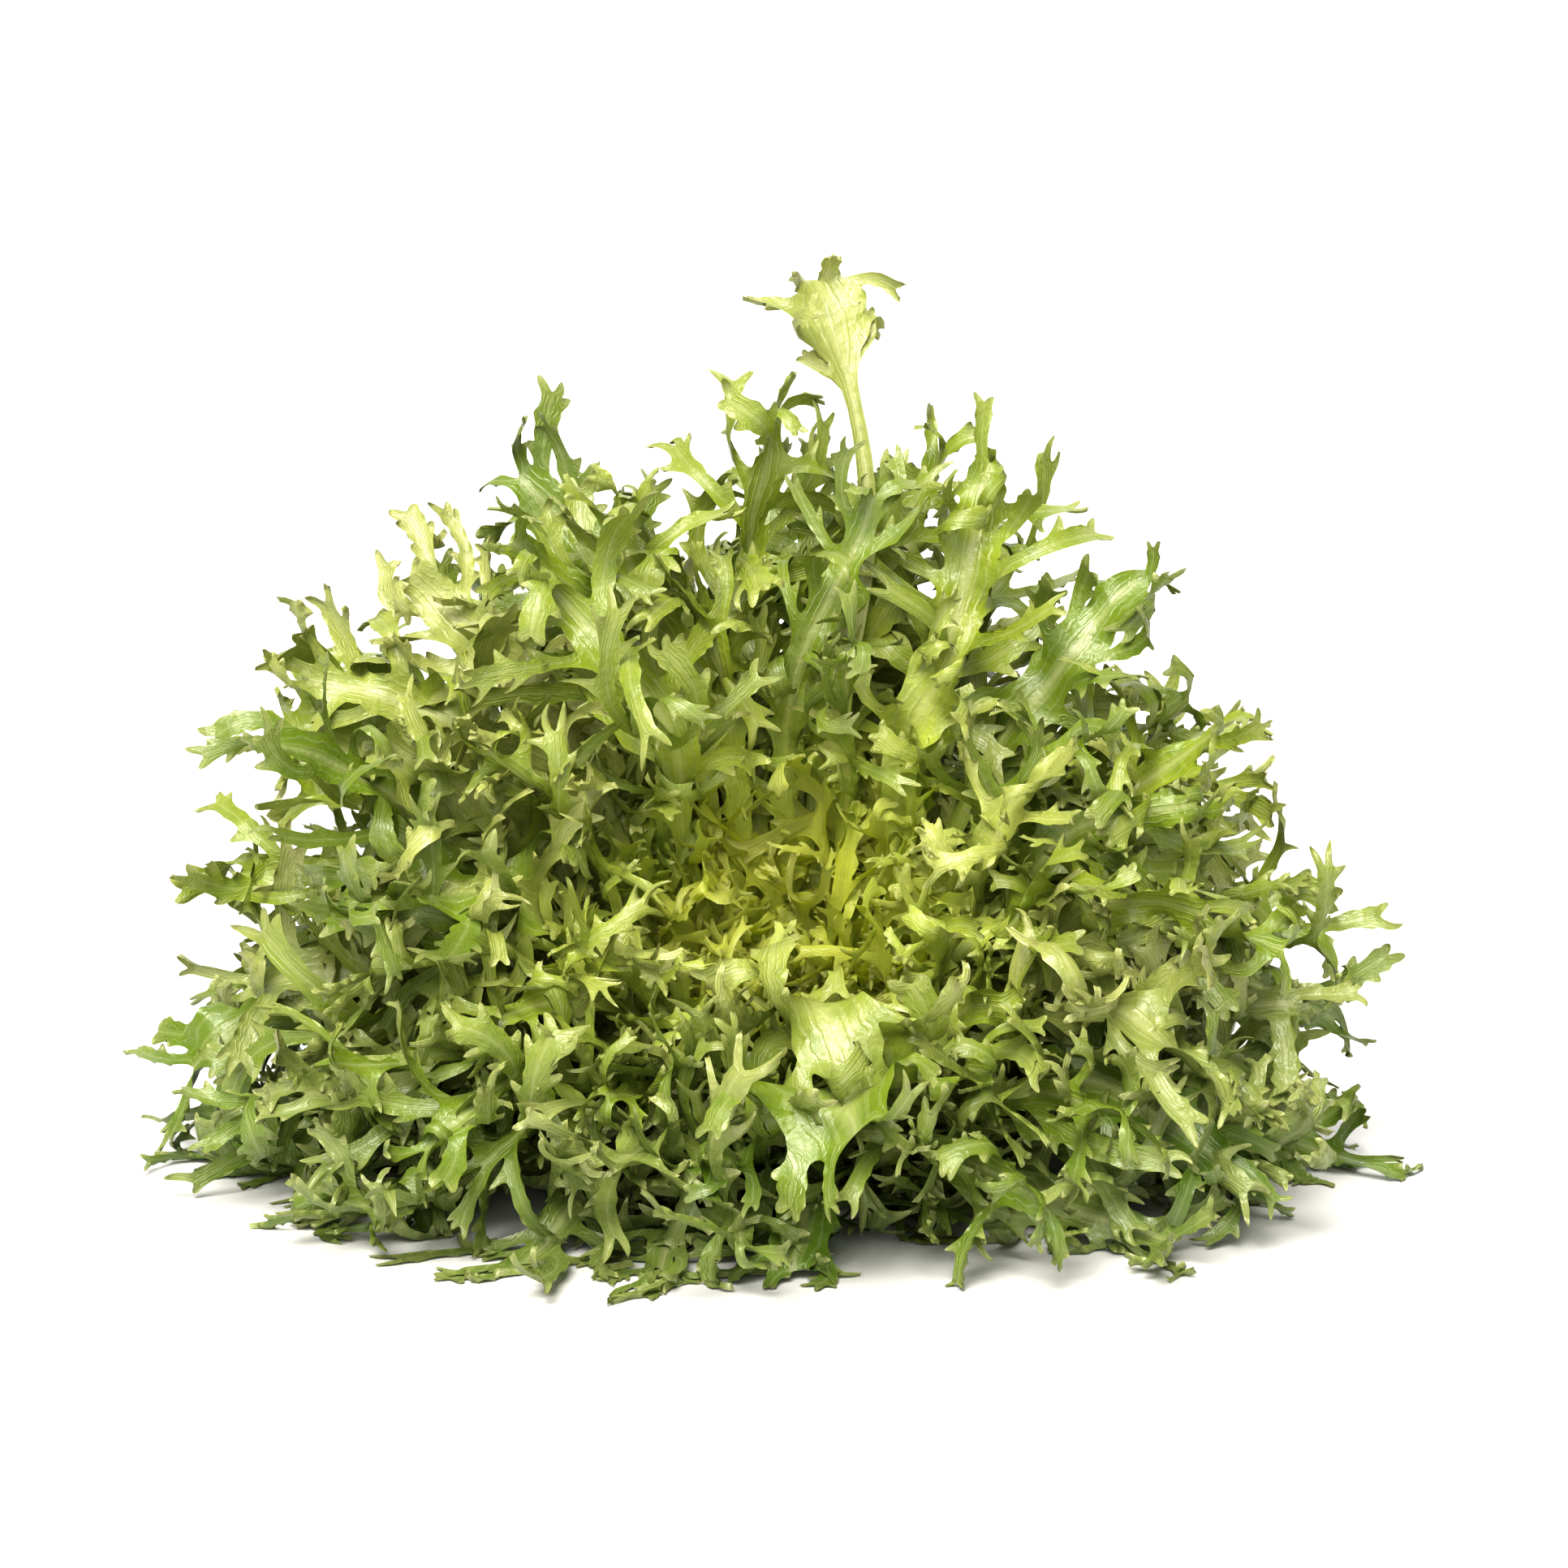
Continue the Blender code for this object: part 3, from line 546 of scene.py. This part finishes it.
def crown_profile():
    """(radius, height) points of the crown's outer side, as modelled."""
    swell = []
    for step in range(5):
        height = mix(CROWN_FRONT, -CROWN_BACK, step / 4)
        swell.append((math.sqrt(CROWN_RADIUS**2 - height**2), height))
    neck = [(STUMP_RADIUS * 1.12, -CROWN_BACK * 1.3), (STUMP_RADIUS * 1.08, -STUMP_LENGTH * 0.8)]
    return [(0, CROWN_FRONT)] + swell + neck + [(STUMP_RADIUS, -STUMP_LENGTH), (0, -STUMP_LENGTH)]


def head_shift():
    """How far the modelled head was moved when it was centred, from where its crown is now."""
    low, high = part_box("crown")
    lowest_y = min(h * AXIS.y - r * OVER.y for r, h in crown_profile())
    lowest_z = min(h * AXIS.z - r * OVER.z for r, h in crown_profile())
    lowest = CROWN_AT + Vector((0, lowest_y, lowest_z))
    return Vector(((low.x + high.x) / 2 - CROWN_AT.x, low.y - lowest.y, low.z - lowest.z))


HEAD_SHIFT = head_shift()


# --- Materials ---


class Shading:
    """Adds nodes to a new material, each fed by sockets or plain values."""

    def __init__(self, name):
        self.material = bpy.data.materials.new(name)
        self.material.use_nodes = True
        self.tree = self.material.node_tree
        self.shader = self.tree.nodes["Principled BSDF"]
        self.place = self.tree.nodes.new("ShaderNodeNewGeometry").outputs["Position"]

    def feed(self, socket, value):
        if isinstance(value, bpy.types.NodeSocket):
            self.tree.links.new(value, socket)
        elif isinstance(value, (tuple, list)) or hasattr(value, "r"):
            socket.default_value = (*value, 1)
        else:
            socket.default_value = value

    def attribute(self, name):
        made = self.tree.nodes.new("ShaderNodeAttribute")
        made.attribute_name = name
        return made.outputs["Fac"]

    def math(self, operation, *values):
        made = self.tree.nodes.new("ShaderNodeMath")
        made.operation = operation
        for socket, value in zip(made.inputs, values):
            self.feed(socket, value)
        return made.outputs[0]

    def spread(self, value, low, high, to_low=0.0, to_high=1.0):
        """The value's place between low and high, eased and clamped."""
        made = self.tree.nodes.new("ShaderNodeMapRange")
        made.interpolation_type = "SMOOTHSTEP"
        for socket, number in zip(made.inputs, (value, low, high, to_low, to_high)):
            self.feed(socket, number)
        return made.outputs[0]

    def noise(self, scale, detail=3.0):
        made = self.tree.nodes.new("ShaderNodeTexNoise")
        self.feed(made.inputs["Vector"], self.place)
        made.inputs["Scale"].default_value = scale
        made.inputs["Detail"].default_value = detail
        return made.outputs["Fac"]

    def distance(self, point):
        made = self.tree.nodes.new("ShaderNodeVectorMath")
        made.operation = "DISTANCE"
        self.feed(made.inputs[0], self.place)
        made.inputs[1].default_value = point
        return made.outputs["Value"]

    def ramp(self, value, *stops):
        made = self.tree.nodes.new("ShaderNodeValToRGB")
        elements = made.color_ramp.elements
        while len(elements) < len(stops):
            elements.new(0.5)
        for element, (position, colour) in zip(elements, stops):
            element.position = position
            element.color = (*colour, 1)
        self.feed(made.inputs["Fac"], value)
        return made.outputs["Color"]

    def blend(self, first, second, share, kind="MIX"):
        made = self.tree.nodes.new("ShaderNodeMix")
        made.data_type = "RGBA"
        made.blend_type = kind
        self.feed(made.inputs["Factor"], share)
        self.feed(made.inputs[6], first)
        self.feed(made.inputs[7], second)
        return made.outputs[2]

    def bump(self, height, distance, strength=1.0):
        made = self.tree.nodes.new("ShaderNodeBump")
        made.inputs["Strength"].default_value = strength
        made.inputs["Distance"].default_value = distance
        self.feed(made.inputs["Height"], height)
        self.feed(self.shader.inputs["Normal"], made.outputs["Normal"])


def leaf_finish(name, colours, mottling, glowing, greening):
    """Leaf tissue: yellow near the heart and green further out, with pale ribs, lighter tips, a soft gloss, and
    painted shade that darkens the blades towards the surface.
    """
    make = Shading(name)
    tint, edge, vein = (make.attribute(label) for label in ("tint", "edge", "vein"))
    across = make.attribute("across")
    patches = make.noise(38)
    height = make.tree.nodes.new("ShaderNodeSeparateXYZ")
    make.feed(height.inputs[0], make.place)
    reach = make.math("ADD", make.distance(CROWN_AT + HEAD_SHIFT), make.math("MULTIPLY", patches, 0.07))
    outward = make.spread(reach, *greening)
    colour = make.ramp(
        outward, (0.06, colours.heart), (0.22, colours.inner), (0.48, colours.middle), (1.0, colours.outer)
    )
    colour = make.blend(colour, colours.mottling_and_painted_shade, make.spread(tint, 0.5, 0.0, 0.0, 1.5 * mottling))
    colour = make.blend(colour, colours.tip, make.spread(tint, 0.5, 1.0, 0.0, 0.45))
    colour = make.blend(colour, colours.mottling_and_painted_shade, make.spread(make.noise(150, 4), 0.45, 0.75, 0.0, mottling))
    # painted shade: below a height of 10 cm the blades are darkened towards the surface, as if less light from
    # above reached them
    colour = make.blend(colour, colours.mottling_and_painted_shade, make.spread(height.outputs["Z"], 0.10, 0.0, 0.0, 0.60))
    colour = make.blend(colour, colours.tip, make.math("MULTIPLY", make.math("POWER", edge, 2.5), 0.6))
    side = make.math("ABSOLUTE", across)
    wander = make.math("MULTIPLY_ADD", make.noise(110, 2), 5.0, make.math("MULTIPLY", side, 16.0))
    streaks = make.spread(make.math("SINE", wander), 0.2, 1.0)
    streaks = make.math("MULTIPLY", streaks, make.spread(side, 1.0, 0.8))
    middle = make.spread(side, 0.30, 0.0)
    veins = make.math("ADD", make.math("MULTIPLY", streaks, 0.14), make.math("MULTIPLY", middle, 0.22))
    colour = make.blend(colour, colours.rib, veins)
    ribbed = make.math("MULTIPLY", make.spread(vein, 0.40, 0.95), 0.85)
    colour = make.blend(colour, make.blend(colours.rib, colours.inner, make.spread(reach, 0.17, 0.08)), ribbed)
    dried = make.spread(make.noise(60, 2), 0.66, 0.72)
    scorched = make.math("MULTIPLY", make.spread(edge, 0.86, 1.0), dried)
    colour = make.blend(colour, colours.scorched, scorched)
    make.feed(make.shader.inputs["Base Color"], colour)
    make.feed(make.shader.inputs["Roughness"], make.spread(make.noise(500, 2), 0.3, 0.7, 0.26, 0.46))
    make.shader.inputs["Specular IOR Level"].default_value = 1.0
    make.bump(make.math("MULTIPLY_ADD", streaks, 0.25, make.noise(420, 4)), 0.0006, 0.7)
    through = make.tree.nodes.new("ShaderNodeBsdfTranslucent")
    make.feed(through.inputs["Color"], make.blend(colour, colours.glow, 0.8, "MULTIPLY"))
    both = make.tree.nodes.new("ShaderNodeMixShader")
    both.inputs["Fac"].default_value = glowing
    make.feed(both.inputs[1], make.shader.outputs["BSDF"])
    make.feed(both.inputs[2], through.outputs["BSDF"])
    make.feed(make.tree.nodes["Material Output"].inputs["Surface"], both.outputs["Shader"])
    return make.material


def stump_finish(colours):
    """The crown: moist and cream, browned towards the rim of the cut face."""
    make = Shading("stump")
    cut = make.distance(CROWN_AT + HEAD_SHIFT - AXIS * STUMP_LENGTH)
    wander = make.math("MULTIPLY", make.noise(160, 4), 9.0)
    rings = make.math("SINE", make.math("MULTIPLY_ADD", cut, 2400, wander))
    colour = make.ramp(make.noise(160, 4), (0.35, colours.stump), (0.78, colours.browned))
    browning = make.math("MULTIPLY", make.spread(cut, 0.005, 0.011), make.spread(cut, 0.020, 0.012))
    colour = make.blend(colour, colours.browned, make.math("MULTIPLY", browning, 0.8))
    colour = make.blend(colour, colours.browned, make.math("MULTIPLY", make.spread(rings, 0.2, 1.0), 0.15))
    make.feed(make.shader.inputs["Base Color"], colour)
    make.shader.inputs["Roughness"].default_value = 0.5
    make.bump(make.noise(300, 4), 0.0006)
    return make.material


# --- What a user would change ---


def length_property(name, description, default):
    return bpy.props.FloatProperty(
        name=name, description=description, default=default, subtype="DISTANCE", unit="LENGTH"
    )


def share_property(name, description, default):
    return bpy.props.FloatProperty(name=name, description=description, default=default)


def colour_property(name, description, default):
    return bpy.props.FloatVectorProperty(
        name=name, description=description, default=default, subtype="COLOR", size=3, min=0, max=1
    )


class EndiveLeafSizes(bpy.types.PropertyGroup):
    """Sizes of one kind of leaf."""

    lobe_length: length_property("Lobe length", "Longest lobes, from the rib to the tip", 0.050)
    lobe_half: length_property("Lobe half width", "Half the width of a lobe", 0.0023)
    lobe_spacing: length_property("Lobe spacing", "Along the rib, between lobes on one side", 0.0104)
    row: length_property("Row length", "Along a lobe, between its points and teeth", 0.0055)
    rib_half: length_property("Rib half width", "Half the width of the stalk", 0.0035)
    rib_thickness: length_property("Rib thickness", "At the rib's root", 0.0034)
    blade_thickness: length_property("Blade thickness", "In the middle of a lobe", 0.0005)
    pucker: length_property("Puckers", "How far the blade rises and falls between its edges", 0.0006)
    cup: length_property("Cup", "How far the middle of a lobe lies below its edges", 0.0010)
    curl: share_property("Curl", "How far lobes curl, in radians", 1.7)
    twist: share_property("Twist", "How far lobes twist, in radians", 1.0)
    ruffle: share_property("Ruffle", "How far lobes rise and fall in turn, in radians", 0.9)
    toothed: share_property("Teeth", "Share of a lobe's edges that have a tooth", 0.6)
    branching: share_property("Side points", "Share of a lobe's edges that have a side point", 0.55)
    roll: share_property("Roll", "How far a leaf turns about its rib, in radians", 0.85)
    sway: share_property("Sway", "How far a leaf leans sideways, as a share of its length", 0.09)
    hook: share_property("Hook", "How far a leaf's tip droops, as a share of its length", 0.10)
    wave: share_property("Wave", "How far a rib waves, as a share of its length", 0.075)


class EndiveColours(bpy.types.PropertyGroup):
    """Colours of the head."""

    heart: colour_property("Heart", "Leaves nearest the heart", (0.93, 0.96, 0.15))
    inner: colour_property("Inner", "Leaves round the heart", (0.69, 0.80, 0.11))
    middle: colour_property("Middle", "Leaves halfway out", (0.395, 0.48, 0.038))
    outer: colour_property("Outer", "Outermost leaves", (0.31, 0.405, 0.024))
    tip: colour_property("Tips", "Tips of the lobes", (0.67, 0.665, 0.28))
    rib: colour_property("Rib", "Ribs and stalks", (0.71, 0.71, 0.40))
    # this colour serves both as the blades' darker mottling and as the painted shade on the lowest leaves
    mottling_and_painted_shade: colour_property("Mottling", "Darker mottling of the blades", (0.055, 0.16, 0.005))
    glow: colour_property("Glow", "What light that comes through a leaf is tinted with", (1.0, 1.0, 0.35))
    scorched: colour_property("Scorched", "Dried tips here and there", (0.20, 0.11, 0.03))
    stump: colour_property("Stump", "Cut stem", (0.70, 0.66, 0.44))
    browned: colour_property("Browned", "Where the cut stem has dried", (0.40, 0.29, 0.13))


class EndiveStage(bpy.types.PropertyGroup):
    """Camera, lights and how densely leaves fill the head."""

    lens: bpy.props.FloatProperty(
        name="Lens", description="Focal length", default=110, subtype="DISTANCE_CAMERA"
    )
    distance: length_property("Camera distance", "From the point that the camera looks at", 1.25)
    rise: bpy.props.FloatProperty(
        name="Camera rise", description="Above the horizon", default=math.radians(11), subtype="ANGLE"
    )
    aim: length_property("Aim height", "Height that the camera looks at", 0.103)
    key: share_property("Key light", "Strength of the light from above and the left", 5.0)
    fill: share_property("Sky", "Strength of the light from all sides", 0.06)
    front: share_property("Front light", "Strength of the soft light from the front", 0.9)
    back: share_property("Back light", "Strength of the soft light from behind", 1.3)
    filling: bpy.props.IntProperty(
        name="Leaves between", description="Density of the leaves between", default=225
    )


# --- Operators ---


def fit(piece, slot, *nodes):
    """Ties a finished piece to the frame."""
    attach(piece, "root")
    if nodes:
        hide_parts(*nodes)


class ENDIVE_OT_crown(bpy.types.Operator):
    """Adds the crown with its cut stump"""

    bl_idname = "endive.crown"
    bl_label = "Crown"

    def execute(self, context):
        mesh = bpy.data.meshes.new("crown_stump")
        profile = crown_profile()
        mesh.from_pydata([(r, 0, h) for r, h in profile], [(i, i + 1) for i in range(len(profile) - 1)], [])
        piece = bpy.data.objects.new("crown_stump", mesh)
        piece.rotation_euler = (math.pi / 2 - AXIS_RISE, 0, 0)
        piece.location = CROWN_AT + HEAD_SHIFT
        context.scene.collection.objects.link(piece)
        screw = piece.modifiers.new("turn", "SCREW")
        screw.steps = screw.render_steps = CROWN_STEPS
        screw.use_merge_vertices = True
        screw.merge_threshold = 0.0001
        context.view_layer.update()
        graph = context.evaluated_depsgraph_get()
        made = bpy.data.meshes.new_from_object(piece.evaluated_get(graph))
        piece.modifiers.clear()
        piece.data = made
        for vertex in made.vertices:
            ridges = math.sin(vertex.co.z * RIDGES + 3 * math.atan2(vertex.co.y, vertex.co.x))
            vertex.co += vertex.normal * (SCARS * (ridges + noise.noise(vertex.co * 300)))
        made.materials.append(stump_finish(context.scene.endive_colours))
        made.shade_smooth()
        fit(piece, "stump_cream", "crown")
        return {"FINISHED"}


class ENDIVE_OT_leaves(bpy.types.Operator):
    """Adds a cut and curled leaf for each modelled one"""

    bl_idname = "endive.leaves"
    bl_label = "Leaves"

    def execute(self, context):
        scene = context.scene
        material = leaf_finish(
            "leaf", scene.endive_colours, mottling=0.30, glowing=0.18, greening=(0.055, 0.205)
        )
        outstanding = outstanding_leaves()
        for leaf in outstanding + ordinary_leaves(outstanding):
            cage = Cage()
            grow_leaf(cage, leaf, scene.endive_leaf)
            piece = finished_piece(leaf.name + "_blade", cage, scene.endive_leaf, material)
            slot = next(s["material_slot"] for s in frame["record"]["subparts"] if s["node"] == leaf.name)
            fit(piece, slot, leaf.name)
        return {"FINISHED"}


class ENDIVE_OT_leaves_between(bpy.types.Operator):
    """Adds the leaves that stand between the modelled ones"""

    bl_idname = "endive.leaves_between"
    bl_label = "Leaves between"

    def execute(self, context):
        scene = context.scene
        material = bpy.data.materials["leaf"]
        outstanding = outstanding_leaves()
        taken = outstanding + ordinary_leaves(outstanding)
        count = scene.endive_stage.filling
        between = ordinary_leaves(taken, count, "between_", BETWEEN_ROOM, BETWEEN_SEED, BETWEEN_SPIN)
        between += outstanding_leaves(STANDING_BETWEEN, FIRST_STANDING_SEED)
        cage = Cage()
        number = 1
        for leaf in between:
            grow_leaf(cage, leaf._replace(reach=leaf.reach * BETWEEN_REACH), scene.endive_leaf)
            if len(cage.faces) > FACES_A_PIECE:
                piece = finished_piece(f"leaves_between_{number}", cage, scene.endive_leaf, material)
                fit(piece, "leaf_green")
                cage = Cage()
                number += 1
        piece = finished_piece(f"leaves_between_{number}", cage, scene.endive_leaf, material)
        fit(piece, "leaf_green")
        return {"FINISHED"}


class ENDIVE_OT_heart(bpy.types.Operator):
    """Adds the small frilled leaves of the heart"""

    bl_idname = "endive.heart"
    bl_label = "Heart"

    def execute(self, context):
        scene = context.scene
        material = leaf_finish(
            "heart_leaf", scene.endive_colours, mottling=0.05, glowing=0.55, greening=(0.068, 0.205)
        )
        for kind in HEART_KINDS:
            cage = Cage()
            for number in range(kind.count):
                seed = HEART_SEED + number
                draw = random.Random(seed)
                share = (number + 0.5) / kind.count
                polar = math.acos(mix(math.cos(kind.nearest), math.cos(kind.furthest), share))
                turn = math.remainder(number * GOLDEN_ANGLE, math.tau)
                shorter = SHORT_THIRD if number % 3 == 0 else 1.0
                reach = mix(kind.shortest, kind.longest, share) * shorter * draw.uniform(0.80, 1.06)
                if polar < lowest_polar(turn):
                    leaf = Leaf(kind.name, polar, turn, reach, HEART_BARE, kind.blade, 0.0, seed)
                    grow_leaf(cage, leaf, scene.endive_heart)
            piece = finished_piece(kind.name, cage, scene.endive_heart, material)
            if kind.name == "heart_leaves":
                fit(piece, "heart_yellow", "heart")
            else:
                fit(piece, "leaf_pale")
        return {"FINISHED"}


class ENDIVE_OT_stage(bpy.types.Operator):
    """Adds the floor, the lights and the camera"""

    bl_idname = "endive.stage"
    bl_label = "Stage"

    def execute(self, context):
        scene = context.scene
        stage = scene.endive_stage
        bpy.ops.mesh.primitive_plane_add(size=FLOOR_SIZE)
        floor = context.object
        floor.name = "floor"
        material = bpy.data.materials.new("floor")
        material.use_nodes = True
        paper = material.node_tree.nodes["Principled BSDF"]
        paper.inputs["Base Color"].default_value = FLOOR_COLOUR
        paper.inputs["Roughness"].default_value = 0.9
        paper.inputs["Specular IOR Level"].default_value = 0.1
        floor.data.materials.append(material)
        world = bpy.data.worlds.new("studio")
        scene.world = world
        world.use_nodes = True
        nodes, links = world.node_tree.nodes, world.node_tree.links
        background = nodes["Background"]
        background.inputs["Color"].default_value = (1, 1, 1, 1)
        # the camera sees a white sky, and the head is lit by a weak one
        seen = nodes.new("ShaderNodeMapRange")
        seen.inputs["To Min"].default_value = stage.fill
        links.new(nodes.new("ShaderNodeLightPath").outputs["Is Camera Ray"], seen.inputs[0])
        links.new(seen.outputs[0], background.inputs["Strength"])
        # name, strength, how far the light spreads in degrees, which way it shines, and its colour
        suns = (
            ("key", stage.key, 45, (0.20, 0.60, -1.0), WARM),
            ("front", stage.front, 40, (0.1, 1.0, -0.45), WHITE),
            ("back", stage.back, 60, (-0.1, -1.0, -0.75), WHITE),
        )
        for name, strength, spread, heading, colour in suns:
            lamp = bpy.data.lights.new(name, "SUN")
            lamp.angle = math.radians(spread)
            lamp.energy = strength
            lamp.color = colour
            sun = bpy.data.objects.new(name, lamp)
            sun.rotation_euler = Vector(heading).to_track_quat("-Z", "Y").to_euler()
            scene.collection.objects.link(sun)
        camera = bpy.data.objects.new("camera", bpy.data.cameras.new("camera"))
        camera.data.lens = stage.lens
        camera.data.clip_end = SIGHT
        aim = Vector((0, 0, stage.aim))
        toward_camera = Vector((0, -math.cos(stage.rise), math.sin(stage.rise)))
        camera.location = aim + toward_camera * stage.distance
        camera.rotation_euler = (-toward_camera).to_track_quat("-Z", "Y").to_euler()
        scene.collection.objects.link(camera)
        scene.camera = camera
        scene.view_settings.view_transform = "Standard"
        scene.view_settings.gamma = VIEW_GAMMA
        scene.view_settings.exposure = VIEW_EXPOSURE
        return {"FINISHED"}


class ENDIVE_PT_panel(bpy.types.Panel):
    """Lists the pieces of the head"""

    bl_label = "Curly endive head"
    bl_space_type = "VIEW_3D"
    bl_region_type = "UI"
    bl_category = "Endive"

    def draw(self, context):
        for operator in OPERATORS:
            self.layout.operator(operator.bl_idname)
        for group in ("endive_leaf", "endive_heart", "endive_colours", "endive_stage"):
            values = getattr(context.scene, group)
            box = self.layout.box()
            for name in values.__annotations__:
                box.prop(values, name)


GROUPS = (EndiveLeafSizes, EndiveColours, EndiveStage)
OPERATORS = (
    ENDIVE_OT_stage,
    ENDIVE_OT_crown,
    ENDIVE_OT_leaves,
    ENDIVE_OT_leaves_between,
    ENDIVE_OT_heart,
)


def register():
    for cls in GROUPS + OPERATORS + (ENDIVE_PT_panel,):
        bpy.utils.register_class(cls)
    bpy.types.Scene.endive_leaf = bpy.props.PointerProperty(type=EndiveLeafSizes)
    bpy.types.Scene.endive_heart = bpy.props.PointerProperty(type=EndiveLeafSizes)
    bpy.types.Scene.endive_colours = bpy.props.PointerProperty(type=EndiveColours)
    bpy.types.Scene.endive_stage = bpy.props.PointerProperty(type=EndiveStage)


def unregister():
    for name in ("endive_leaf", "endive_heart", "endive_colours", "endive_stage"):
        delattr(bpy.types.Scene, name)
    for cls in reversed(GROUPS + OPERATORS + (ENDIVE_PT_panel,)):
        bpy.utils.unregister_class(cls)


def set_heart_sizes(sizes):
    """The heart's leaves are smaller and finer than the rest."""
    sizes.lobe_length = 0.066
    sizes.lobe_half = 0.0025
    sizes.lobe_spacing = 0.0100
    sizes.hook = 0.26
    sizes.sway = 0.22
    sizes.row = 0.0050
    sizes.cup = 0.0005
    sizes.branching = 0.35
    sizes.toothed = 0.45
    sizes.rib_half = 0.0016
    sizes.rib_thickness = 0.0016
    sizes.curl = 1.5


def main():
    register()
    set_heart_sizes(bpy.context.scene.endive_heart)
    bpy.ops.endive.stage()
    bpy.ops.endive.crown()
    bpy.ops.endive.leaves()
    bpy.ops.endive.leaves_between()
    bpy.ops.endive.heart()


if __name__ == "__main__":
    main()
